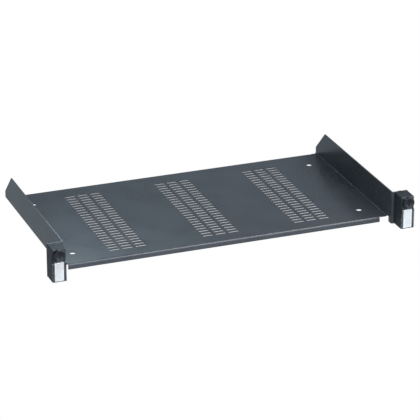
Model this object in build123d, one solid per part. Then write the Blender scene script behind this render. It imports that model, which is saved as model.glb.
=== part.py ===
from build123d import *
import os

# A one-unit rack shelf: a folded, vented steel tray with a locking end block on each ear.
# Sizes are in millimetres. X runs across the rack, +Y runs back into it and +Z is up.
# The origin lies in the mounting plane, which is the ears' back faces, midway between
# the rack's rails and level with the panel's lower edge.

# The rack that the shelf fits
rail_hole_spacing = 465.1  # between the centre lines of the two rails' square holes
rail_hole_size = 9.5  # side of each square hole
rail_hole_below_top = 5.95  # from the panel's upper edge to the centre of the upper hole
rail_thickness = 2.0
panel_height = 43.65  # one rack unit of 44.45, less the gap between panels

# The folded sheet
sheet = 1.5
bend_inside = 1.0
tray_setback = 12.4  # from the mounting plane back to the front lip's face
tray_depth = 234.1  # over both lips
tray_top_height = 5.8  # above the panel's lower edge
lip_height = 7.4
lip_end_to_wing = 11.3  # from each end of a lip to the wing's outer face
relief_width = 1.6  # notch beside each end of a lip, where the bend stops
relief_depth = 0.6  # past the bend's own radius
rail_hole_to_wing = 11.2  # from the hole's centre line in to the wing's outer face
wing_rear_height = 9.2  # straight part of the wing's rear edge, above the tray
wing_chamfer_run = 29.0
front_tab_depth = 7.5  # full-height part of the wing, behind the mounting plane
front_tab_corner = 1.5

# Vent slots and fixing holes in the tray
vent_panels = 3
vent_panel_spacing = 124.7
vent_columns = 3
vent_rows = 24
slot_length = 14.0
slot_width = 4.0
slot_web = 3.4  # metal between two columns
slot_bar = 3.9  # metal between two rows
fixing_hole_diameter = 7.7
fixing_hole_from_side = 26.8  # from the wing's outer face
fixing_hole_from_front = 31.4  # from the front lip's face
fixing_hole_from_rear = 36.6  # from the rear lip's face

# The moulded end block
block_width = 17.9
block_depth = 20.6
block_corner = 1.2  # seen from the front
block_edge = 1.0  # chamfer round the front face
block_wall = 1.8
ledge_height = 0.8  # under the label window
lug_fit = 0.1  # play of the lug, the peg and the tab in the ear
lug_size = 8.3
lug_root = 6.0
peg_diameter = 3.0
peg_height = 8.0  # above the panel's lower edge
tab_width = 2.8
tab_height = 1.0
tab_notch_depth = 2.2  # from the ear's upper edge down
rib_thickness = 1.2

# The turning lock
lock_drop = 1.2  # of the lock's axis below the centre of the rail's hole
knob_diameter = 15.0
knob_thickness = 4.4
knob_gap = 0.3  # behind the knob's back face
knob_edge = 0.8  # chamfer round the knob's face
knob_rim = 0.7  # flat ring between the chamfer and the dish
knob_dish_depth = 1.3  # a hollow with one round sweep from rim to rim
coin_slot_width = 1.7
coin_slot_length = 9.5
coin_slot_depth = 0.7
shaft_diameter = 3.2
shaft_play = 0.05  # all round, in the block's bore
shaft_socket = 1.4  # depth of the blind hole in the knob's back
shaft_flats = 2.3  # across the two flats that turn the cam
key_fit = 0.04
boss_wall = 1.9
cam_gap = 0.15  # between the end of the lug and the cam
cam_thickness = 1.8
cam_hub_radius = 2.75
cam_nose_width = 6.4
cam_hole_clearance = 0.25  # between the nose and the edge of the rail's hole
clip_thickness = 0.5
clip_groove_depth = 0.5
clip_radius = 2.7
clip_mouth = 1.9
shaft_tail = 0.6  # of the shaft behind its clip
washer_radius = 4.3
washer_hole_radius = 2.1
washer_thickness = 0.3
washer_bow = 0.65
washer_play = 0.05

# The label behind its clear window
window_thickness = 2.2
window_proud = 1.8  # of the block's front face
window_gap = 0.1
window_edge = 0.7
window_to_knob = 2.2
label_width = 11.6
label_margin = 0.8  # of the card inside the window's top and bottom
label_thickness = 0.3
pocket_play = 0.1
window_peg_diameter = 1.6
window_peg_length = 1.2
window_peg_from_edge = 1.5

# What follows from those sizes
rail_x = rail_hole_spacing / 2
ear_x = rail_x + block_width / 2
wing_x = rail_x - rail_hole_to_wing
bend_outside = bend_inside + sheet
tray_front = tray_setback
tray_rear = tray_setback + tray_depth
tray_top = tray_top_height
tray_bottom = tray_top - sheet
lip_bottom = tray_top - lip_height
lip_x = wing_x - lip_end_to_wing
corner_front = tray_front + sheet
corner_rear = tray_rear - sheet
fold_top = tray_bottom + bend_outside
fixing_x = wing_x - fixing_hole_from_side
fixing_front = tray_front + fixing_hole_from_front
fixing_rear = tray_rear - fixing_hole_from_rear
pattern_y = (fixing_front + fixing_rear) / 2
hole_z = panel_height - rail_hole_below_top
lock_z = hole_z - lock_drop
ear_front = -sheet
block_front = ear_front - block_depth
knob_back = block_front - knob_gap
knob_front = knob_back - knob_thickness
shaft_radius = shaft_diameter / 2
shaft_front = knob_back - shaft_socket
lug_end = rail_thickness + window_gap
cam_front = lug_end + cam_gap
cam_back = cam_front + cam_thickness
clip_back = cam_back + clip_thickness
shaft_back = clip_back + shaft_tail
window_top = lock_z - knob_diameter / 2 - window_to_knob
window_bottom = ledge_height
window_middle = (window_top + window_bottom) / 2
window_height = window_top - window_bottom - 2 * window_gap
label_height = window_height - 2 * label_margin
window_front = block_front - window_proud
step_y = window_front + window_thickness
washer_seat_depth = washer_bow + washer_thickness + 2 * washer_play - knob_gap

FRONT = Plane.XZ  # its normal points forwards, out of the rack


def box_between(x, y, z):
    """A box from three (low, high) pairs."""
    low, high = Vector(x[0], y[0], z[0]), Vector(x[1], y[1], z[1])
    size = high - low
    middle = (low + high) / 2
    return Pos(middle.X, middle.Y, middle.Z) * Box(size.X, size.Y, size.Z)


def across(half):
    """The (low, high) pair of a width centred on the middle plane."""
    return (-half, half)


def rod(radius, y_front, y_back, z=0.0, x=0.0):
    """A round bar along Y between two depths."""
    return extrude(FRONT.offset(-y_back) * Pos(x, z) * Circle(radius), y_back - y_front)


def plate_seen_from_front(outline, y_front, y_back):
    """An outline drawn in X and Z, given thickness between two depths."""
    return extrude(FRONT.offset(-y_back) * outline, y_back - y_front)


def wing_channel():
    """The tray's floor with both wings folded up, before any cut."""
    length = (corner_front, tray_rear)
    outside = box_between(across(wing_x), length, (tray_bottom, panel_height))
    outside = fillet(outside.edges().filter_by(Axis.Y).group_by(Axis.Z)[0], bend_outside)
    inside = box_between(across(wing_x - sheet), length, (tray_top, panel_height))
    inside = fillet(inside.edges().filter_by(Axis.Y).group_by(Axis.Z)[0], bend_inside)
    return outside - inside


def lip_clearance():
    """What the floor gives up at its front and rear edges, so that the lips can be bent."""
    height = (tray_bottom - sheet, tray_top + sheet)
    reach = across(lip_x + relief_width)
    bend = bend_outside + relief_depth
    front = box_between(reach, (tray_front - sheet, tray_front + bend), height)
    rear = box_between(reach, (tray_rear - bend, tray_rear + sheet), height)
    corners = box_between(across(wing_x - bend_outside), (corner_rear, tray_rear + sheet), height)
    return front + rear + corners


def lipped_floor():
    """The middle of the floor, with its front and rear lips bent down."""
    outside = box_between(across(lip_x), (tray_front, tray_rear), (lip_bottom, tray_top))
    outside = fillet(outside.edges().filter_by(Axis.X).group_by(Axis.Z)[-1], bend_outside)
    inside = box_between(
        across(lip_x), (tray_front + sheet, tray_rear - sheet), (lip_bottom, tray_bottom)
    )
    inside = fillet(inside.edges().filter_by(Axis.X).group_by(Axis.Z)[-1], bend_inside)
    return outside - inside


def right_ear():
    """The front of the right wing, bent outwards into the ear that bolts up to the rail."""
    height = (0, panel_height)
    outside = box_between((wing_x - sheet, ear_x), (ear_front, corner_front + sheet), height)
    convex = outside.edges().filter_by(Axis.Z).group_by(Axis.X)[0].sort_by(Axis.Y)[0]
    outside = fillet(convex, bend_outside)
    inside = box_between((wing_x, ear_x), (0, corner_front + sheet), height)
    concave = inside.edges().filter_by(Axis.Z).group_by(Axis.X)[0].sort_by(Axis.Y)[0]
    inside = fillet(concave, bend_inside)
    ear = outside - inside
    ear -= box_between(
        (wing_x - 2 * sheet, wing_x + sheet), (front_tab_depth, corner_front + 2 * sheet), (-1, fold_top)
    )
    heel = ear.edges().filter_by(Axis.X).group_by(Axis.Z)[0].sort_by(Axis.Y)[-1]
    ear = fillet(heel, front_tab_corner)
    return ear - ear_openings()


def ear_openings():
    """The holes in the right ear: for the block's lug, its peg and its tab."""
    thick = (ear_front - sheet, sheet)
    half = lug_size / 2 + lug_fit
    lug_hole = box_between((rail_x - half, rail_x + half), thick, (hole_z - half, hole_z + half))
    peg_hole = rod(peg_diameter / 2 + lug_fit, *thick, z=peg_height, x=rail_x)
    half_tab = tab_width / 2 + lug_fit
    notch = box_between(
        (rail_x - half_tab, rail_x + half_tab), thick, (panel_height - tab_notch_depth, panel_height + 1)
    )
    return lug_hole + peg_hole + notch


def wing_chamfers():
    """The wedge that slopes both wings down towards the rear."""
    slope = Polyline(
        (tray_rear - wing_chamfer_run, panel_height),
        (tray_rear, tray_top + wing_rear_height),
        (tray_rear + sheet, tray_top + wing_rear_height),
        (tray_rear + sheet, panel_height + sheet),
        (tray_rear - wing_chamfer_run, panel_height + sheet),
        close=True,
    )
    return extrude(Plane.YZ * make_face(slope), wing_x + sheet, both=True)


def vents_and_holes():
    """The slots and the four fixing holes that are punched through the floor."""
    column_pitch = slot_length + slot_web
    row_pitch = slot_width + slot_bar
    panels = GridLocations(vent_panel_spacing, 1, vent_panels, 1)
    slots = GridLocations(column_pitch, row_pitch, vent_columns, vent_rows)
    holes = GridLocations(2 * fixing_x, fixing_rear - fixing_front, 2, 2)
    punched = Sketch() + [panel * slot * Rectangle(slot_length, slot_width) for panel in panels for slot in slots]
    punched += [hole * Circle(fixing_hole_diameter / 2) for hole in holes]
    return extrude(Pos(0, pattern_y, tray_bottom - 1) * punched, sheet + 2)


def shelf_tray():
    """The whole folded sheet, as one solid."""
    ear = right_ear()
    folded = wing_channel() - lip_clearance() + lipped_floor() + ear + mirror(ear, Plane.YZ)
    return folded - wing_chamfers() - vents_and_holes()


def block_cavity():
    """The hollow of the end block, which opens at its back against the ear."""
    width = across(block_width / 2 - block_wall)
    upper_front = block_front + washer_seat_depth + block_wall
    upper = box_between(width, (upper_front, ear_front), (window_top, panel_height - block_wall))
    lower = box_between(width, (step_y + block_wall, ear_front), (block_wall, window_top))
    return upper + lower


def block_fixings():
    """What the block carries behind its front wall: the boss, the lug, the peg, the tab and a rib."""
    boss = rod(shaft_radius + boss_wall, block_front + block_edge, ear_front - lug_root, z=lock_z)
    half = lug_size / 2
    lug = box_between(across(half), (ear_front - lug_root - boss_wall, lug_end), (hole_z - half, hole_z + half))
    peg = rod(peg_diameter / 2, step_y + block_wall / 2, 0, z=peg_height)
    tab_bottom = panel_height - tab_notch_depth + lug_fit
    tab = box_between(across(tab_width / 2), (ear_front - block_wall, 0), (tab_bottom, tab_bottom + tab_height))
    rib = box_between(
        across(block_width / 2 - block_wall / 2),
        (step_y, ear_front - lug_root),
        (lock_z - rib_thickness / 2, lock_z + rib_thickness / 2),
    )
    return boss + lug + peg + tab + rib


def window_pegs(play=0.0):
    """The two pegs that press the window into the block, or, with play, their holes."""
    radius = window_peg_diameter / 2 + play
    peg_x = block_width / 2 - window_peg_from_edge
    length = window_peg_length + play
    pegs = [rod(radius, step_y - window_gap, step_y + length, z=window_middle, x=x) for x in (-peg_x, peg_x)]
    return pegs[0] + pegs[1]


def end_block():
    """The moulded block: a hollow shell with a step for the window and a bored lug."""
    outline = Pos(0, panel_height / 2) * RectangleRounded(block_width, panel_height, block_corner)
    shell = plate_seen_from_front(outline, block_front, ear_front)
    shell = chamfer(shell.faces().sort_by(Axis.Y)[0].edges(), block_edge)
    shell -= block_cavity()
    shell += block_fixings()
    shell -= box_between(across(block_width), (block_front - 1, step_y), (window_bottom, window_top))
    shell -= rod(washer_radius + lug_fit, block_front - 1, block_front + washer_seat_depth, z=lock_z)
    shell -= rod(shaft_radius + shaft_play, block_front - 1, lug_end + 1, z=lock_z)
    return shell - window_pegs(play=shaft_play)


def lock_knob():
    """The round knob, with a chamfered edge, a hollow face and a slot for a coin."""
    radius = knob_diameter / 2
    dish_radius = radius - knob_edge - knob_rim
    dish_floor = knob_front + knob_dish_depth
    dish = TangentArc((0, dish_floor), (dish_radius, knob_front), tangent=(1, 0))
    rim_and_back = Polyline(
        (dish_radius, knob_front),
        (radius - knob_edge, knob_front),
        (radius, knob_front + knob_edge),
        (radius, knob_back),
        (0, knob_back),
        (0, dish_floor),
    )
    knob = Pos(0, 0, lock_z) * revolve(make_face(dish + rim_and_back), Axis.Y)
    knob -= box_between(
        across(coin_slot_width / 2),
        (knob_front, dish_floor + coin_slot_depth),
        (lock_z - coin_slot_length / 2, lock_z + coin_slot_length / 2),
    )
    return knob - rod(shaft_radius, shaft_front, knob_back + 1, z=lock_z)


def key_profile(play=0.0):
    """The shaft's end seen from the front: a circle with two flats."""
    circle = Circle(shaft_radius + play)
    return circle & Rectangle(shaft_flats + 2 * play, shaft_diameter + 1)


def lock_shaft():
    """The steel shaft, with flats for the cam and a groove for its clip."""
    round_part = rod(shaft_radius, shaft_front, lug_end, z=lock_z)
    keyed_part = plate_seen_from_front(Pos(0, lock_z) * key_profile(), lug_end, shaft_back)
    groove = rod(shaft_diameter, cam_back, clip_back, z=lock_z)
    groove -= rod(shaft_radius - clip_groove_depth, cam_back, clip_back, z=lock_z)
    return round_part + keyed_part - groove


def lock_cam():
    """The cam: inside the rail's hole as it stands, and behind the rail once turned."""
    reach = rail_hole_size / 2 + lock_drop - cam_hole_clearance
    nose = Pos(0, reach / 2) * Rectangle(cam_nose_width, reach)
    nose = fillet(nose.vertices().group_by(Axis.Y)[-1], cam_hub_radius / 2)
    outline = Circle(cam_hub_radius) + nose - key_profile(play=key_fit)
    return plate_seen_from_front(Pos(0, lock_z) * outline, cam_front, cam_back)


def cam_clip():
    """The open ring that snaps into the shaft's groove behind the cam."""
    ring = Circle(clip_radius) - Circle(shaft_radius - clip_groove_depth + key_fit)
    ring -= Pos(0, -clip_radius) * Rectangle(clip_mouth, 2 * clip_radius)
    return plate_seen_from_front(Pos(0, lock_z) * ring, cam_back + key_fit, clip_back - key_fit)


def spring_washer():
    """The bowed washer that keeps the knob from turning by itself."""
    ring = rod(washer_radius, block_front - 1, block_front + washer_seat_depth, z=lock_z)
    ring -= rod(washer_hole_radius, block_front - 1, block_front + washer_seat_depth, z=lock_z)
    bow_radius = (washer_radius**2 + washer_bow**2) / (2 * washer_bow)
    crown = block_front + washer_seat_depth - washer_play
    centre = Pos(0, crown - bow_radius, lock_z)
    bowed = centre * (Rot(0, 90, 0) * Cylinder(bow_radius, 3 * washer_radius))
    bowed -= centre * (Rot(0, 90, 0) * Cylinder(bow_radius - washer_thickness, 3 * washer_radius))
    return ring & bowed


def label_window():
    """The clear cover over the label, as wide as the block."""
    outline = Pos(0, window_middle) * Rectangle(block_width, window_height)
    cover = plate_seen_from_front(outline, window_front, step_y - window_gap)
    cover = fillet(cover.faces().sort_by(Axis.Y)[0].edges(), window_edge)
    pocket = Pos(0, window_middle) * Rectangle(label_width + 2 * pocket_play, label_height + 2 * pocket_play)
    cover -= plate_seen_from_front(pocket, step_y - window_gap - label_thickness - pocket_play, step_y)
    return cover + window_pegs()


def label_card():
    """The blank card in the window's pocket."""
    outline = Pos(0, window_middle) * Rectangle(label_width, label_height)
    return plate_seen_from_front(outline, step_y - window_gap - label_thickness, step_y - window_gap)


END_PIECES = {
    "end_block": end_block,
    "lock_knob": lock_knob,
    "lock_shaft": lock_shaft,
    "lock_cam": lock_cam,
    "cam_clip": cam_clip,
    "spring_washer": spring_washer,
    "label_window": label_window,
    "label_card": label_card,
}


def main():
    os.makedirs("parts", exist_ok=True)
    export_step(shelf_tray(), "parts/shelf_tray.step")
    for name, make in END_PIECES.items():
        piece = make()
        for side, x in (("left", -rail_x), ("right", rail_x)):
            export_step(Pos(x, 0, 0) * piece, f"parts/{side}_{name}.step")


main()
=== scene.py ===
import logging
import math
from dataclasses import dataclass
from enum import Enum

import bmesh
import bpy
from mathutils import Matrix, Vector

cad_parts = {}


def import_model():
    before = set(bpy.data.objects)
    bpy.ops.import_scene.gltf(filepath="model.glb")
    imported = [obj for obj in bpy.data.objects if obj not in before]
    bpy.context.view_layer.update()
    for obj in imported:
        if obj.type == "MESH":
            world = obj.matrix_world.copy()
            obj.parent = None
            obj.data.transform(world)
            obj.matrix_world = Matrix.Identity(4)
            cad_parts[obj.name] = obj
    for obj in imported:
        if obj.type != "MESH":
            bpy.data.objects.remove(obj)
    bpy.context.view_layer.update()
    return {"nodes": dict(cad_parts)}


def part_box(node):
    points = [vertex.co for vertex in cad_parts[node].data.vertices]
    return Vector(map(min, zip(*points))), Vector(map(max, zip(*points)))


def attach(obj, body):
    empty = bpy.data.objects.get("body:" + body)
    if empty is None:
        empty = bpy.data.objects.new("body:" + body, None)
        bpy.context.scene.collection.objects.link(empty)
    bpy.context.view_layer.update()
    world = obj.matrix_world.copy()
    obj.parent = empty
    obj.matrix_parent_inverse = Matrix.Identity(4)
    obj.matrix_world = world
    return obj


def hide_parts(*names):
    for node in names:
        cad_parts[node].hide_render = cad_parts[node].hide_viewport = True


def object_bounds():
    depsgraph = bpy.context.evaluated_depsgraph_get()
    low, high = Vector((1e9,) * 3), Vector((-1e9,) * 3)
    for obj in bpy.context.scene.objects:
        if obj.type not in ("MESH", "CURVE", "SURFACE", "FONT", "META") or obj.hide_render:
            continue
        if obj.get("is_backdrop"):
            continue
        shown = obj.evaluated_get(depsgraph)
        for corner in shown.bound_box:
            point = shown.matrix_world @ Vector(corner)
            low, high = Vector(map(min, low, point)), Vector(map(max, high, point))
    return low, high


# A one-unit rack shelf: a folded, vented steel tray with a locking end block on each ear.
# Lengths are in metres and angles in degrees. X runs across the rack, +Y runs back into it
# and +Z is up, with the origin in the mounting plane.

LOG = logging.getLogger("rack_shelf")
MM = 0.001
WELD = 0.001 * MM
FLAT_ANGLE = 0.5  # faces that meet at less are one flat face
EDGE_ANGLE = 25.0  # an edge that turns by more belongs to the form, not to a curve's facets
SMOOTH_ANGLE = 30.0  # an edge that turns by less is shaded smooth

Colour = tuple[float, float, float]
Point = tuple[float, float, float]


class Side(Enum):
    """The two ends of the shelf, as seen from the front."""

    LEFT = "left"
    RIGHT = "right"

    def node(self, piece: str) -> str:
        """Names this side's CAD node of a piece."""
        return f"{self.value}_{piece}"

    @property
    def lock_body(self) -> str:
        """Names the body that turns with this side's knob."""
        return f"{self.value}_lock"


class Slot(Enum):
    """The record's material slots."""

    SHEET = "sheet"
    BLOCK = "block"
    KNOB = "knob"
    STEEL = "steel"
    WINDOW = "window"
    CARD = "card"


class NoiseGroups:
    """Shader node groups that more than one finish uses, each built once.

    Attributes:
        FINE_DETAIL: octaves of the fine grain.
        CLOUD_DETAIL: octaves of the slow cloud.
        CLOUD_LOW: the noise value where the cloud is 0.
        CLOUD_HIGH: the noise value where it is 1.
        grain: the group of a fine grain with a slow cloud over it.
    """

    FINE_DETAIL = 3.0
    CLOUD_DETAIL = 2.0
    CLOUD_LOW = 0.3
    CLOUD_HIGH = 0.7

    def __init__(self) -> None:
        """Builds every group."""
        self.grain = self._build_grain()

    def _build_grain(self) -> bpy.types.NodeTree:
        """Builds the grain group.

        Returns:
            A group with a Height that carries the fine grain, and a Cloud from 0 to 1 that
            drifts slowly over the surface.
        """
        group = bpy.data.node_groups.new("fine_grain", "ShaderNodeTree")
        sockets = group.interface
        for name in ("Grain Scale", "Cloud Scale"):
            sockets.new_socket(name, in_out="INPUT", socket_type="NodeSocketFloat")
        sockets.new_socket("Place", in_out="INPUT", socket_type="NodeSocketVector")
        for name in ("Height", "Cloud"):
            sockets.new_socket(name, in_out="OUTPUT", socket_type="NodeSocketFloat")
        entry = group.nodes.new("NodeGroupInput")
        leave = group.nodes.new("NodeGroupOutput")
        fine = group.nodes.new("ShaderNodeTexNoise")
        fine.inputs["Detail"].default_value = self.FINE_DETAIL
        slow = group.nodes.new("ShaderNodeTexNoise")
        slow.inputs["Detail"].default_value = self.CLOUD_DETAIL
        spread = group.nodes.new("ShaderNodeMapRange")
        spread.inputs["From Min"].default_value = self.CLOUD_LOW
        spread.inputs["From Max"].default_value = self.CLOUD_HIGH
        wire = group.links.new
        wire(entry.outputs["Place"], fine.inputs["Vector"])
        wire(entry.outputs["Place"], slow.inputs["Vector"])
        wire(entry.outputs["Grain Scale"], fine.inputs["Scale"])
        wire(entry.outputs["Cloud Scale"], slow.inputs["Scale"])
        wire(slow.outputs["Fac"], spread.inputs["Value"])
        wire(fine.outputs["Fac"], leave.inputs["Height"])
        wire(spread.outputs["Result"], leave.inputs["Cloud"])
        return group


@dataclass(frozen=True)
class Finish:
    """What every finish has: a name, and a roughness that drifts slowly over the surface.

    Attributes:
        name: the material's name.
        smooth: the lowest roughness.
        rough: the highest roughness.
        cloud_size: of the slow drift.
    """

    name: str
    smooth: float
    rough: float
    cloud_size: float

    def build(self, groups: NoiseGroups) -> bpy.types.Material:
        """Makes the node material.

        Args:
            groups: the shared node groups.

        Returns:
            The finished material.
        """
        material = bpy.data.materials.new(self.name)
        material.use_nodes = True
        tree = material.node_tree
        surface = tree.nodes["Principled BSDF"]
        place = tree.nodes.new("ShaderNodeTexCoord")
        grain = tree.nodes.new("ShaderNodeGroup")
        grain.node_tree = groups.grain
        grain.inputs["Cloud Scale"].default_value = 1 / self.cloud_size
        sheen = tree.nodes.new("ShaderNodeMapRange")
        sheen.inputs["To Min"].default_value = self.smooth
        sheen.inputs["To Max"].default_value = self.rough
        wire = tree.links.new
        wire(place.outputs["Object"], grain.inputs["Place"])
        wire(grain.outputs["Cloud"], sheen.inputs["Value"])
        wire(sheen.outputs["Result"], surface.inputs["Roughness"])
        self._dress(tree, surface, grain)
        return material

    def _dress(
        self, tree: bpy.types.NodeTree, surface: bpy.types.Node, grain: bpy.types.Node
    ) -> None:
        """Adds what only one kind of finish has.

        Args:
            tree: the material's node tree.
            surface: its shader.
            grain: its grain group.
        """
        raise NotImplementedError


@dataclass(frozen=True)
class Grained(Finish):
    """A solid finish with a fine grain and a slow drift in colour.

    Attributes:
        dark: the darker of its two linear colours.
        light: the lighter one.
        grain_size: of the fine grain.
        relief: the grain's height.
        gloss: the specular level, 0.5 for a plain plastic or paint.
        metallic: 1.0 for bare metal.
    """

    dark: Colour
    light: Colour
    grain_size: float
    relief: float
    gloss: float = 0.5
    metallic: float = 0.0

    def _dress(
        self, tree: bpy.types.NodeTree, surface: bpy.types.Node, grain: bpy.types.Node
    ) -> None:
        """Adds the colour and the grain's relief.

        Args:
            tree: the material's node tree.
            surface: its shader.
            grain: its grain group.
        """
        surface.inputs["Metallic"].default_value = self.metallic
        surface.inputs["Specular IOR Level"].default_value = self.gloss
        grain.inputs["Grain Scale"].default_value = 1 / self.grain_size
        tint = tree.nodes.new("ShaderNodeMix")
        tint.data_type = "RGBA"
        tint.inputs["A"].default_value = (*self.dark, 1.0)
        tint.inputs["B"].default_value = (*self.light, 1.0)
        bump = tree.nodes.new("ShaderNodeBump")
        bump.inputs["Distance"].default_value = self.relief
        wire = tree.links.new
        wire(grain.outputs["Cloud"], tint.inputs["Factor"])
        wire(grain.outputs["Height"], bump.inputs["Height"])
        wire(tint.outputs["Result"], surface.inputs["Base Color"])
        wire(bump.outputs["Normal"], surface.inputs["Normal"])


@dataclass(frozen=True)
class Clear(Finish):
    """A clear moulded plastic.

    Attributes:
        tint: its linear colour.
        ior: its index of refraction.
    """

    tint: Colour
    ior: float

    def _dress(
        self, tree: bpy.types.NodeTree, surface: bpy.types.Node, grain: bpy.types.Node
    ) -> None:
        """Makes the shader clear; its colour and normals are even.

        Args:
            tree: the material's node tree; not used.
            surface: its shader.
            grain: its grain group; not used.
        """
        surface.inputs["Base Color"].default_value = (*self.tint, 1.0)
        surface.inputs["IOR"].default_value = self.ior
        surface.inputs["Transmission Weight"].default_value = 1.0


FINISHES: dict[Slot, Finish] = {
    Slot.SHEET: Grained(
        name="satin_black_paint",
        dark=(0.036, 0.040, 0.047),
        light=(0.045, 0.050, 0.059),
        smooth=0.26,
        rough=0.32,
        grain_size=0.9 * MM,
        cloud_size=40 * MM,
        relief=0.005 * MM,
        gloss=0.42,
    ),
    Slot.BLOCK: Grained(
        name="black_nylon",
        dark=(0.011, 0.014, 0.018),
        light=(0.018, 0.022, 0.028),
        smooth=0.5,
        rough=0.6,
        grain_size=0.35 * MM,
        cloud_size=6 * MM,
        relief=0.02 * MM,
        gloss=0.4,
    ),
    Slot.KNOB: Grained(
        name="blue_black_nylon",
        dark=(0.006, 0.008, 0.011),
        light=(0.010, 0.012, 0.016),
        smooth=0.34,
        rough=0.44,
        grain_size=0.3 * MM,
        cloud_size=5 * MM,
        relief=0.012 * MM,
        gloss=0.34,
    ),
    Slot.STEEL: Grained(
        name="blackened_steel",
        dark=(0.060, 0.062, 0.066),
        light=(0.100, 0.102, 0.108),
        smooth=0.28,
        rough=0.4,
        grain_size=0.25 * MM,
        cloud_size=3 * MM,
        relief=0.01 * MM,
        metallic=1.0,
    ),
    Slot.WINDOW: Clear(
        name="clear_cover",
        tint=(0.985, 0.99, 0.995),
        ior=1.49,
        smooth=0.02,
        rough=0.06,
        cloud_size=4 * MM,
    ),
    Slot.CARD: Grained(
        name="white_card",
        dark=(0.79, 0.80, 0.80),
        light=(0.87, 0.88, 0.88),
        smooth=0.75,
        rough=0.85,
        grain_size=0.4 * MM,
        cloud_size=5 * MM,
        relief=0.02 * MM,
        gloss=0.2,
    ),
}


class Paintshop:
    """Makes each finish once and puts it on pieces."""

    def __init__(self) -> None:
        """Builds every finish."""
        groups = NoiseGroups()
        self.materials = {slot: finish.build(groups) for slot, finish in FINISHES.items()}

    def coat(self, piece: bpy.types.Object, slot: Slot) -> None:
        """Gives a piece the finish that belongs to a slot of the record.

        Args:
            piece: the piece to dress.
            slot: the record's material slot.
        """
        piece.data.materials.clear()
        piece.data.materials.append(self.materials[slot])


def mesh_object(
    name: str, work: bmesh.types.BMesh, smooth_below: float = SMOOTH_ANGLE
) -> bpy.types.Object:
    """Turns a bmesh into an object, smooth but for its sharp edges.

    Args:
        name: the piece's name.
        work: the bmesh, which is freed.
        smooth_below: edges that turn by less than this are smooth.

    Returns:
        The new object, linked to the scene.
    """
    mesh = bpy.data.meshes.new(name)
    work.to_mesh(mesh)
    work.free()
    mesh.shade_smooth()
    mesh.set_sharp_from_angle(angle=math.radians(smooth_below))
    piece = bpy.data.objects.new(name, mesh)
    bpy.context.scene.collection.objects.link(piece)
    return piece


def clean_mesh(node: bpy.types.Object) -> bmesh.types.BMesh:
    """Copies a CAD node's mesh, welded and with its flat faces whole.

    Args:
        node: the CAD node's object.

    Returns:
        The new bmesh.
    """
    work = bmesh.new()
    work.from_mesh(node.data)
    bmesh.ops.remove_doubles(work, verts=work.verts, dist=WELD)
    bmesh.ops.dissolve_limit(
        work, angle_limit=math.radians(FLAT_ANGLE), verts=work.verts, edges=work.edges
    )
    return work


def sharp_edges(work: bmesh.types.BMesh, above: float = EDGE_ANGLE) -> list[bmesh.types.BMEdge]:
    """Lists the edges that turn by more than an angle."""
    return [e for e in work.edges if e.is_manifold and e.calc_face_angle() > math.radians(above)]


def round_edges(
    work: bmesh.types.BMesh,
    edges: list[bmesh.types.BMEdge],
    size: float,
    segments: int = 2,
    clamp: bool = True,
) -> None:
    """Rounds edges, as paint or a mould leaves them.

    Args:
        work: the bmesh to change.
        edges: the edges to round.
        size: how far each edge is rounded.
        segments: how many strips each rounding has.
        clamp: whether the shortest edge limits the rounding.
    """
    bmesh.ops.bevel(
        work,
        geom=edges,
        offset=size,
        offset_type="OFFSET",
        affect="EDGES",
        segments=segments,
        profile=0.5,
        material=-1,
        clamp_overlap=clamp,
    )


def finished_piece(name: str, work: bmesh.types.BMesh) -> bpy.types.Object:
    """Turns a rounded bmesh into an object whose flat faces shade flat.

    Args:
        name: the piece's name.
        work: the bmesh, which is freed.

    Returns:
        The new object.
    """
    piece = mesh_object(name, work)
    even = piece.modifiers.new("even_shading", "WEIGHTED_NORMAL")
    even.keep_sharp = True
    return piece


@dataclass
class FoldedTray:
    """The folded steel sheet.

    Attributes:
        outline_round: rounding of the painted sheet's long cut edges.
        outline_segments: how many strips that rounding has.
        long_edge: the length from which an edge counts as long.
        slot_round: rounding of its slots, holes and corners.
        slot_angle: what their edges turn by at least.
    """

    outline_round: float = 0.35 * MM
    outline_segments: int = 3
    long_edge: float = 15 * MM
    slot_round: float = 0.05 * MM
    slot_angle: float = 50.0

    def build(self, nodes: dict[str, bpy.types.Object], paint: Paintshop) -> None:
        """Builds and dresses the sheet.

        Args:
            nodes: the CAD nodes by name.
            paint: what finishes the piece.
        """
        work = clean_mesh(nodes["shelf_tray"])
        outline = [e for e in sharp_edges(work) if e.calc_length() > self.long_edge]
        round_edges(work, outline, self.outline_round, self.outline_segments, clamp=False)
        round_edges(work, sharp_edges(work, self.slot_angle), self.slot_round)
        sheet = finished_piece("tray_sheet", work)
        paint.coat(sheet, Slot.SHEET)
        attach(sheet, "shelf")
        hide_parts("shelf_tray")
        LOG.info("tray_sheet: %d faces", len(sheet.data.polygons))


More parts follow.
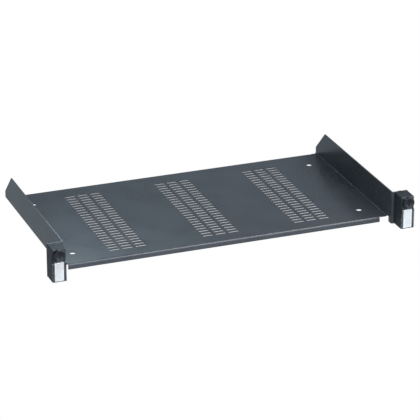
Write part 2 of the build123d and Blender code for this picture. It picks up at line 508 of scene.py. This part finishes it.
@dataclass
class LockKnob:
    """The round knob, spun smooth, with a hollow face and a coin slot.

    Attributes:
        rim_round: rounding of the outer edge.
        rim_flat: width of the flat ring round the hollow.
        rim_segments: how many strips each of the rim's roundings has.
        dish_depth: depth of the hollow.
        dish_steps: how many steps make its sweep from the middle to the rim.
        slot_width: of the coin slot.
        slot_length: of the coin slot.
        slot_depth: of the coin slot, below the hollow's deepest point.
        socket_radius: of the blind hole for the shaft.
        socket_depth: of that hole.
        steps: how many steps make the full turn.
        smooth_below: edges that turn by less than this are shaded smooth.
    """

    rim_round: float = 0.8 * MM
    rim_flat: float = 0.7 * MM
    rim_segments: int = 6
    dish_depth: float = 1.3 * MM
    dish_steps: int = 12
    slot_width: float = 1.7 * MM
    slot_length: float = 9.5 * MM
    slot_depth: float = 0.7 * MM
    socket_radius: float = 1.6 * MM
    socket_depth: float = 1.4 * MM
    steps: int = 96
    smooth_below: float = 35.0

    def build(self, side: Side, nodes: dict[str, bpy.types.Object], paint: Paintshop) -> None:
        """Builds and dresses one knob.

        Args:
            side: which end of the shelf.
            nodes: the CAD nodes by name; not used.
            paint: what finishes the piece.
        """
        node = side.node("lock_knob")
        low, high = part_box(node)
        centre = (low + high) / 2
        radius = (high.x - low.x) / 2
        work = bmesh.new()
        self._spin_body(work, radius, low.y - centre.y, high.y - centre.y)
        self._cut_slot(work, radius, low.y - centre.y + self.dish_depth)
        bmesh.ops.recalc_face_normals(work, faces=work.faces)
        bmesh.ops.translate(work, verts=work.verts, vec=centre)
        knob = mesh_object(side.node("turn_knob"), work, self.smooth_below)
        paint.coat(knob, Slot.KNOB)
        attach(knob, side.lock_body)
        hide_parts(node)
        LOG.info("%s: %d faces", knob.name, len(knob.data.polygons))

    def _spin_body(self, work: bmesh.types.BMesh, radius: float, front: float, back: float) -> None:
        """Spins the knob's half section about its axis, which is Y.

        Args:
            work: the bmesh to add to.
            radius: the knob's outer radius.
            front: where its face is, along Y.
            back: where its back is, along Y.
        """
        floor = front + self.dish_depth
        dish = self._dish_radius(radius)
        sweep = (dish**2 + self.dish_depth**2) / (2 * self.dish_depth)
        middle = work.verts.new((0.0, floor, 0.0))
        swept = bmesh.ops.spin(
            work,
            geom=[middle],
            cent=(0, floor - sweep, 0),
            axis=(0, 0, 1),
            angle=-math.asin(dish / sweep),
            steps=self.dish_steps,
        )
        rim = [part for part in swept["geom_last"] if isinstance(part, bmesh.types.BMVert)]
        outline = [
            (radius, front),
            (radius, back),
            (self.socket_radius, back),
            (self.socket_radius, back - self.socket_depth),
            (0.0, back - self.socket_depth),
        ]
        verts = rim + [work.verts.new((x, y, 0.0)) for x, y in outline]
        for start, end in zip(verts, verts[1:]):
            work.edges.new((start, end))
        for vert, size in ((verts[0], self.rim_flat / 2), (verts[1], self.rim_round)):
            bmesh.ops.bevel(
                work,
                geom=[vert],
                offset=size,
                offset_type="OFFSET",
                affect="VERTICES",
                segments=self.rim_segments,
                profile=0.5,
                material=-1,
            )
        bmesh.ops.spin(
            work,
            geom=work.verts[:] + work.edges[:],
            cent=(0, 0, 0),
            axis=(0, 1, 0),
            angle=2 * math.pi,
            steps=self.steps,
            use_merge=True,
        )
        bmesh.ops.remove_doubles(work, verts=work.verts, dist=WELD)

    def _dish_radius(self, radius: float) -> float:
        """Gives the hollow's radius at its rim."""
        return radius - self.rim_round - self.rim_flat

    def _cut_slot(self, work: bmesh.types.BMesh, radius: float, floor: float) -> None:
        """Sinks the coin slot into the hollow face.

        Args:
            work: the knob's bmesh.
            radius: the knob's outer radius.
            floor: where the hollow is deepest, along Y.
        """
        half = Vector((self.slot_width / 2, 0.0, self.slot_length / 2))
        for normal, reach in (((1, 0, 0), half.x), ((0, 0, 1), half.z)):
            for sign in (-1, 1):
                hollow = self._hollow_faces(work, radius, floor)
                around = dict.fromkeys(p for face in hollow for p in (*face.edges, *face.verts))
                bmesh.ops.bisect_plane(
                    work,
                    geom=hollow + list(around),
                    plane_co=Vector(normal) * reach * sign,
                    plane_no=normal,
                    dist=WELD,
                )
        inside = [
            face
            for face in self._hollow_faces(work, radius, floor)
            if abs(face.calc_center_median().x) < half.x and abs(face.calc_center_median().z) < half.z
        ]
        lifted = bmesh.ops.extrude_face_region(work, geom=inside)["geom"]
        bmesh.ops.delete(work, geom=inside, context="FACES")
        sunk = [part for part in lifted if isinstance(part, bmesh.types.BMVert)]
        bmesh.ops.scale(work, verts=sunk, vec=(1, 0, 1))
        bmesh.ops.translate(work, verts=sunk, vec=(0, floor + self.slot_depth, 0))

    def _hollow_faces(
        self, work: bmesh.types.BMesh, radius: float, floor: float
    ) -> list[bmesh.types.BMFace]:
        """Finds the faces of the hollow, as far out as its own rim.

        Args:
            work: the knob's bmesh.
            radius: the knob's outer radius.
            floor: where the hollow is deepest, along Y.

        Returns:
            The faces.
        """
        reach = self._dish_radius(radius)
        return [
            face
            for face in work.faces
            if all(v.co.y < floor + WELD and math.hypot(v.co.x, v.co.z) < reach for v in face.verts)
        ]


@dataclass(frozen=True)
class FittedPiece:
    """A small piece that keeps its CAD form, with its edges softened.

    Attributes:
        node: the CAD piece's name, without its side.
        name: the visible piece's name, without its side.
        slot: its finish.
        edge: how far its edges are rounded.
        turns: whether it turns with the knob.
    """

    node: str
    name: str
    slot: Slot
    edge: float
    turns: bool = False


@dataclass
class EndAssembly:
    """Everything on one ear: the block, its lock and its label.

    Attributes:
        side: which end of the shelf.
        knob: the knob's form.
        fitted: the pieces that keep their CAD form.
    """

    side: Side
    knob: LockKnob
    fitted: tuple[FittedPiece, ...] = (
        FittedPiece("end_block", "block_shell", Slot.BLOCK, 0.3 * MM),
        FittedPiece("label_window", "label_cover", Slot.WINDOW, 0.1 * MM),
        FittedPiece("label_card", "label_sheet", Slot.CARD, 0.04 * MM),
        FittedPiece("spring_washer", "bowed_washer", Slot.STEEL, 0.04 * MM),
        FittedPiece("lock_shaft", "turn_shaft", Slot.STEEL, 0.06 * MM, turns=True),
        FittedPiece("lock_cam", "rail_cam", Slot.STEEL, 0.12 * MM, turns=True),
        FittedPiece("cam_clip", "retaining_clip", Slot.STEEL, 0.05 * MM, turns=True),
    )

    def build(self, nodes: dict[str, bpy.types.Object], paint: Paintshop) -> None:
        """Builds and dresses every piece of this end.

        Args:
            nodes: the CAD nodes by name.
            paint: what finishes the pieces.
        """
        self.knob.build(self.side, nodes, paint)
        for fitted in self.fitted:
            node = self.side.node(fitted.node)
            work = clean_mesh(nodes[node])
            round_edges(work, sharp_edges(work), fitted.edge)
            piece = finished_piece(self.side.node(fitted.name), work)
            paint.coat(piece, fitted.slot)
            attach(piece, self.side.lock_body if fitted.turns else "shelf")
            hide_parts(node)
            LOG.info("%s: %d faces", piece.name, len(piece.data.polygons))


def direction(azimuth: float, elevation: float) -> Vector:
    """Gives the unit vector towards a bearing.

    Args:
        azimuth: from straight back, which is +Y, round to the right.
        elevation: above the horizon.

    Returns:
        The unit vector.
    """
    turn, rise = math.radians(azimuth), math.radians(elevation)
    level = Vector((math.sin(turn), math.cos(turn), 0.0))
    return level * math.cos(rise) + Vector((0.0, 0.0, math.sin(rise)))


@dataclass(frozen=True)
class Softbox:
    """A rectangular studio light.

    Attributes:
        name: the light's name.
        centre: where it stands.
        target: what it faces.
        width: across.
        height: upwards.
        radiance: how bright its face looks, with white as 1.
        tint: its linear colour.
    """

    name: str
    centre: Point
    target: Point
    width: float
    height: float
    radiance: float
    tint: Colour = (1.0, 1.0, 1.0)

    def build(self) -> None:
        """Makes the light."""
        light = bpy.data.lights.new(self.name, "AREA")
        light.shape = "RECTANGLE"
        light.size = self.width
        light.size_y = self.height
        light.energy = self.radiance * math.pi * self.width * self.height
        light.color = self.tint
        lamp = bpy.data.objects.new(self.name, light)
        lamp.visible_camera = False
        away = Vector(self.centre) - Vector(self.target)
        turn = away.to_track_quat("Z", "Y").to_matrix().to_4x4()
        lamp.matrix_world = Matrix.Translation(self.centre) @ turn
        bpy.context.scene.collection.objects.link(lamp)


MIDDLE = (0.0, 0.12, 0.0)  # of the shelf, where the lights of the dome aim
DOME_RADIUS = 3.0
NEUTRAL = (0.96, 1.01, 1.07)
COOL = (0.80, 1.05, 1.18)


def dome_light(
    name: str,
    azimuth: float,
    elevation: float,
    width: float,
    height: float,
    radiance: float,
    tint: Colour,
) -> Softbox:
    """Sets a light on the dome round the shelf, facing its middle.

    Args:
        name: the light's name.
        azimuth: its bearing, with 0 behind the shelf, 90 to its right and 180 in front.
        elevation: its bearing above the floor.
        width: across.
        height: upwards.
        radiance: how bright its face looks, with white as 1.
        tint: its linear colour.

    Returns:
        The light, not yet built.
    """
    centre = Vector(MIDDLE) + DOME_RADIUS * direction(azimuth, elevation)
    return Softbox(name, tuple(centre), MIDDLE, width, height, radiance, tint)


SOFTBOXES = (
    # Wide and soft, in front and to the right: the main light.
    dome_light("key", 142, 38, 1.72, 1.6, 5.0, NEUTRAL),
    dome_light("key_low", 140, 12, 2.1, 1.17, 2.4, NEUTRAL),
    dome_light("right_high", 100, 40, 3.2, 1.6, 4.4, NEUTRAL),
    dome_light("right_low", 88, 12, 3.8, 1.2, 2.2, NEUTRAL),
    dome_light("front_high", -178, 39, 1.7, 1.5, 4.8, NEUTRAL),
    dome_light("front_low", 180, 12, 2.0, 1.2, 1.2, NEUTRAL),
    # Cool, behind the shelf: the satin paint mirrors them.
    dome_light("back_low", 32, 13, 1.35, 0.47, 0.15, COOL),
    dome_light("back_high", 24, 22, 1.2, 0.47, 0.34, COOL),
    dome_light("back_left", -31, 5, 0.84, 0.3, 5.0, COOL),
    # Close in front: they light the lip, the blocks and the labels.
    Softbox("front_wide", (0.0, -1.2, 0.25), (0.0, 0.0, 0.02), 1.6, 0.5, 1.2),
    Softbox("front_right", (0.5, -1.2, 0.25), (0.1, 0.0, 0.02), 0.8, 0.5, 0.7),
    Softbox("front_left", (-0.6, -1.2, 0.25), (-0.2, 0.0, 0.02), 0.8, 0.5, 2.4),
    Softbox("front_near", (0.35, -0.5, 0.9), (0.0, 0.0, 0.0), 0.9, 0.4, 5.4),
    # Small, just behind the tray: their sheen lies towards its front left corner.
    Softbox("near_panel", (-0.08, 0.48, 0.34), (-0.08, 0.0, 0.0), 0.14, 0.09, 6.4, COOL),
    Softbox("near_panel_high", (-0.08, 0.48, 0.44), (-0.08, 0.0, 0.0), 0.14, 0.09, 8.0, COOL),
    Softbox("near_panel_right", (0.06, 0.48, 0.34), (0.06, 0.0, 0.0), 0.14, 0.09, 1.9, COOL),
)


@dataclass
class Studio:
    """The pale floor, the soft light and the camera.

    Attributes:
        azimuth: how far the camera's aim turns to the right of +Y.
        elevation: how far it looks down.
        position: where the camera stands.
        lens: its focal length in millimetres, on a 36 mm sensor.
        sight: how far it sees.
        floor_size: side of the square floor.
        floor_glow: radiance of the floor, as surfaces mirror it.
        floor_tint: the floor's linear colour, as surfaces mirror it.
        room_glow: radiance of the room around, as surfaces mirror it.
        room_tint: the room's linear colour, as surfaces mirror it.
        softboxes: the lights.
    """

    azimuth: float = 20.786
    elevation: float = 22.964
    position: Point = (-1.0469, -2.6836, 1.2723)
    lens: float = 215.03
    sight: float = 50.0
    floor_size: float = 14.0
    floor_glow: float = 0.48
    floor_tint: Colour = (0.87, 1.02, 1.14)
    room_glow: float = 0.03
    room_tint: Colour = (1.0, 1.0, 1.0)
    softboxes: tuple[Softbox, ...] = SOFTBOXES

    def build(self) -> None:
        """Builds the whole studio."""
        self._floor()
        self._room()
        for softbox in self.softboxes:
            softbox.build()
        self._camera()
        bpy.context.scene.view_settings.view_transform = "Standard"

    def _floor(self) -> None:
        """Lays the floor under the tray's lips."""
        work = bmesh.new()
        bmesh.ops.create_grid(work, x_segments=1, y_segments=1, size=self.floor_size / 2)
        bmesh.ops.translate(work, verts=work.verts, vec=(0, 0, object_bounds()[0].z))
        floor = mesh_object("pale_floor", work)
        floor.data.materials.append(self._floor_material())
        floor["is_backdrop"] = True

    def _floor_material(self) -> bpy.types.Material:
        """Makes the floor's material, which glows upwards and is clear from below.

        Returns:
            The finished material.
        """
        material = bpy.data.materials.new("light_table")
        material.use_nodes = True
        tree = material.node_tree
        tree.nodes.clear()
        glow = self._glow(tree, "ShaderNodeEmission", self.floor_tint, self.floor_glow)
        clear = tree.nodes.new("ShaderNodeBsdfTransparent")
        facing = tree.nodes.new("ShaderNodeNewGeometry")
        under = tree.nodes.new("ShaderNodeMixShader")
        leave = tree.nodes.new("ShaderNodeOutputMaterial")
        wire = tree.links.new
        wire(facing.outputs["Backfacing"], under.inputs[0])
        wire(glow.outputs[0], under.inputs[1])
        wire(clear.outputs[0], under.inputs[2])
        wire(under.outputs[0], leave.inputs["Surface"])
        return material

    def _room(self) -> None:
        """Sets the room around, which has no walls."""
        world = bpy.data.worlds.new("white_room")
        world.use_nodes = True
        tree = world.node_tree
        tree.nodes.clear()
        glow = self._glow(tree, "ShaderNodeBackground", self.room_tint, self.room_glow)
        leave = tree.nodes.new("ShaderNodeOutputWorld")
        tree.links.new(glow.outputs[0], leave.inputs["Surface"])
        bpy.context.scene.world = world

    @staticmethod
    def _glow(
        tree: bpy.types.NodeTree, kind: str, tint: Colour, radiance: float
    ) -> bpy.types.Node:
        """Makes a glow that is plain white to look at and softer in reflections.

        Args:
            tree: the node tree to add to.
            kind: the type of its two shader nodes.
            tint: its linear colour in reflections.
            radiance: how bright it is in reflections.

        Returns:
            The node that mixes the two.
        """
        seen = tree.nodes.new(kind)
        seen.inputs["Color"].default_value = (1.0, 1.0, 1.0, 1.0)
        mirrored = tree.nodes.new(kind)
        mirrored.inputs["Color"].default_value = (*tint, 1.0)
        mirrored.inputs["Strength"].default_value = radiance
        path = tree.nodes.new("ShaderNodeLightPath")
        choose = tree.nodes.new("ShaderNodeMixShader")
        wire = tree.links.new
        wire(path.outputs["Is Camera Ray"], choose.inputs[0])
        wire(mirrored.outputs[0], choose.inputs[1])
        wire(seen.outputs[0], choose.inputs[2])
        return choose

    def _camera(self) -> None:
        """Sets the camera at the photograph's angle."""
        forward = direction(self.azimuth, -self.elevation)
        right = direction(self.azimuth + 90, 0.0)
        up = right.cross(forward)
        data = bpy.data.cameras.new("front_left")
        data.lens = self.lens
        data.clip_end = self.sight
        camera = bpy.data.objects.new("front_left", data)
        axes = Matrix((right, up, -forward)).transposed().to_4x4()
        camera.matrix_world = Matrix.Translation(self.position) @ axes
        bpy.context.scene.collection.objects.link(camera)
        bpy.context.scene.camera = camera


def main() -> None:
    """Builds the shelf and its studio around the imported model."""
    logging.basicConfig(level=logging.INFO, format="%(name)s: %(message)s")
    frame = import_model()
    paint = Paintshop()
    FoldedTray().build(frame["nodes"], paint)
    for side in Side:
        EndAssembly(side, LockKnob()).build(frame["nodes"], paint)
    Studio().build()


if __name__ == "__main__":
    main()
